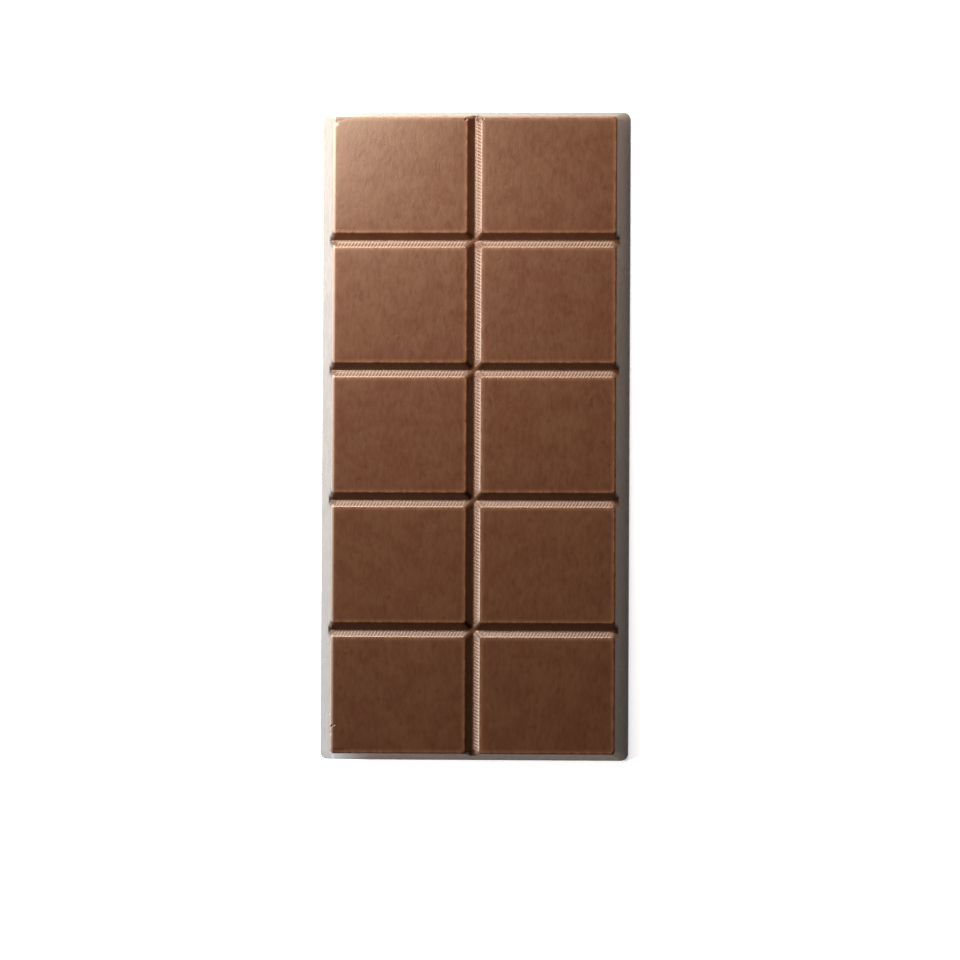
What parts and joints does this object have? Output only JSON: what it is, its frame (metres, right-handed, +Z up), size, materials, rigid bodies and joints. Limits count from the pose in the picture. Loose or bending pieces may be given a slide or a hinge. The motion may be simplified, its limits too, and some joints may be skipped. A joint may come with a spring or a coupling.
{
  "type": "chocolate bar",
  "caption": "Plain moulded chocolate bar lying flat, a grid of flat squares with V grooves between them and sloping outer walls.",
  "frame": {"origin": "middle of the flat underside", "axes": "+Z up out of the face with the squares, +Y along the bar's long axis, +X across it"},
  "size_m": [0.0762, 0.16, 0.0068],
  "materials": {
    "chocolate": "milk chocolate, soft gloss with faintly paler rubbed edges"
  },
  "bodies": {
    "root": {"chocolate_bar": "chocolate"}
  },
  "joints": []
}
